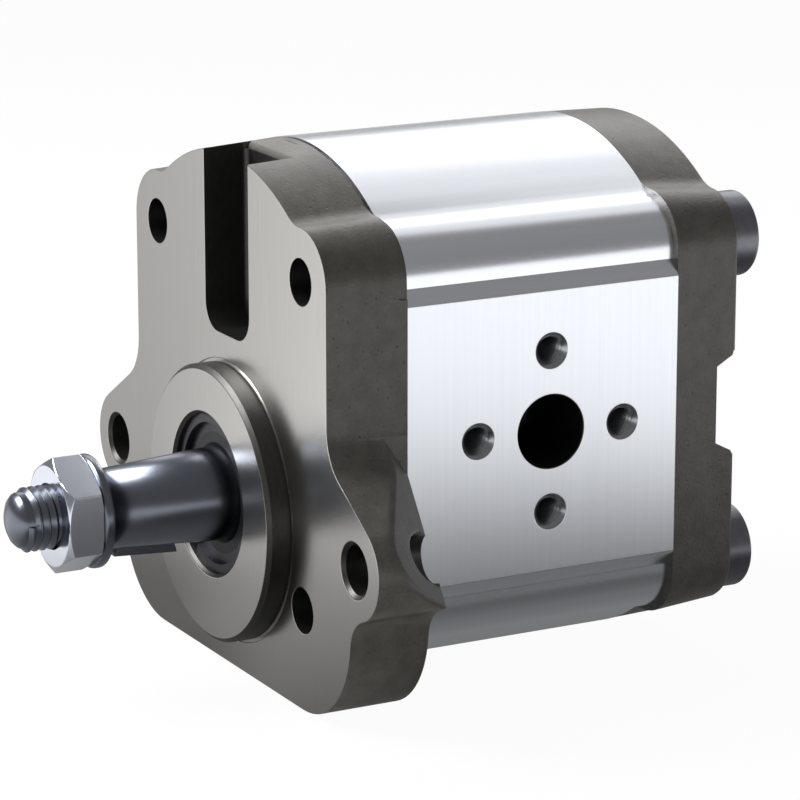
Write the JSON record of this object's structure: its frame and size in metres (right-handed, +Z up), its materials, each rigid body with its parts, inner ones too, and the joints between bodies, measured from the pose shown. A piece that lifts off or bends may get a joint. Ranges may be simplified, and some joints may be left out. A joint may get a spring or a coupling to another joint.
{
  "type": "hydraulic pump",
  "caption": "External gear pump with a cast mounting cover, extruded body, rear cover and a tapered keyed drive shaft.",
  "frame": {"origin": "centre of the pilot, on the mounting face", "axes": "+Y into the pump from the mounting face, so the drive shaft points to -Y; +X towards the pressure port; +Z up, from the drive shaft to the driven gear"},
  "size_m": [0.1194, 0.1351, 0.0986],
  "materials": {
    "cast_cover": "raw casting, faces machined",
    "extruded_body": "extruded, satin",
    "bearing_block": "machined",
    "bush": "bronze-lined, machined",
    "seal_rubber": "nitrile, matt",
    "backup_plastic": "plain",
    "dark_steel": "phosphated",
    "bright_steel": "ground"
  },
  "bodies": {
    "housing": {"front_cover": "cast_cover", "pump_body": "extruded_body", "rear_cover": "cast_cover", "body_bolts": "dark_steel", "front_dowel_pins": "bright_steel", "rear_dowel_pins": "bright_steel", "front_body_seal": "seal_rubber", "rear_body_seal": "seal_rubber", "front_bearing_block": "bearing_block", "rear_bearing_block": "bearing_block", "drive_front_bush": "bush", "driven_front_bush": "bush", "drive_rear_bush": "bush", "driven_rear_bush": "bush", "front_thrust_seal": "seal_rubber", "rear_thrust_seal": "seal_rubber", "front_backup_ring": "backup_plastic", "rear_backup_ring": "backup_plastic", "shaft_seal_case": "dark_steel", "shaft_seal_lip": "seal_rubber", "garter_spring": "bright_steel", "seal_retaining_ring": "dark_steel"},
    "drive_train": {"drive_gear_shaft": "bright_steel", "woodruff_key": "bright_steel", "shaft_nut": "bright_steel", "spring_washer": "bright_steel"},
    "driven_train": {"driven_gear_shaft": "bright_steel"}
  },
  "joints": [
    {"name": "drive_spin", "type": "hinge", "parent": "housing", "child": "drive_train", "pos_m": [0, 0, 0.0018], "axis": [0, -1, 0], "continuous": true},
    {"name": "driven_spin", "type": "hinge", "parent": "housing", "child": "driven_train", "pos_m": [0, 0, 0.0326], "axis": [0, -1, 0], "continuous": true}
  ],
  "couplings": [
    {"joint": "driven_spin", "follows": "drive_spin", "ratio": -1}
  ]
}
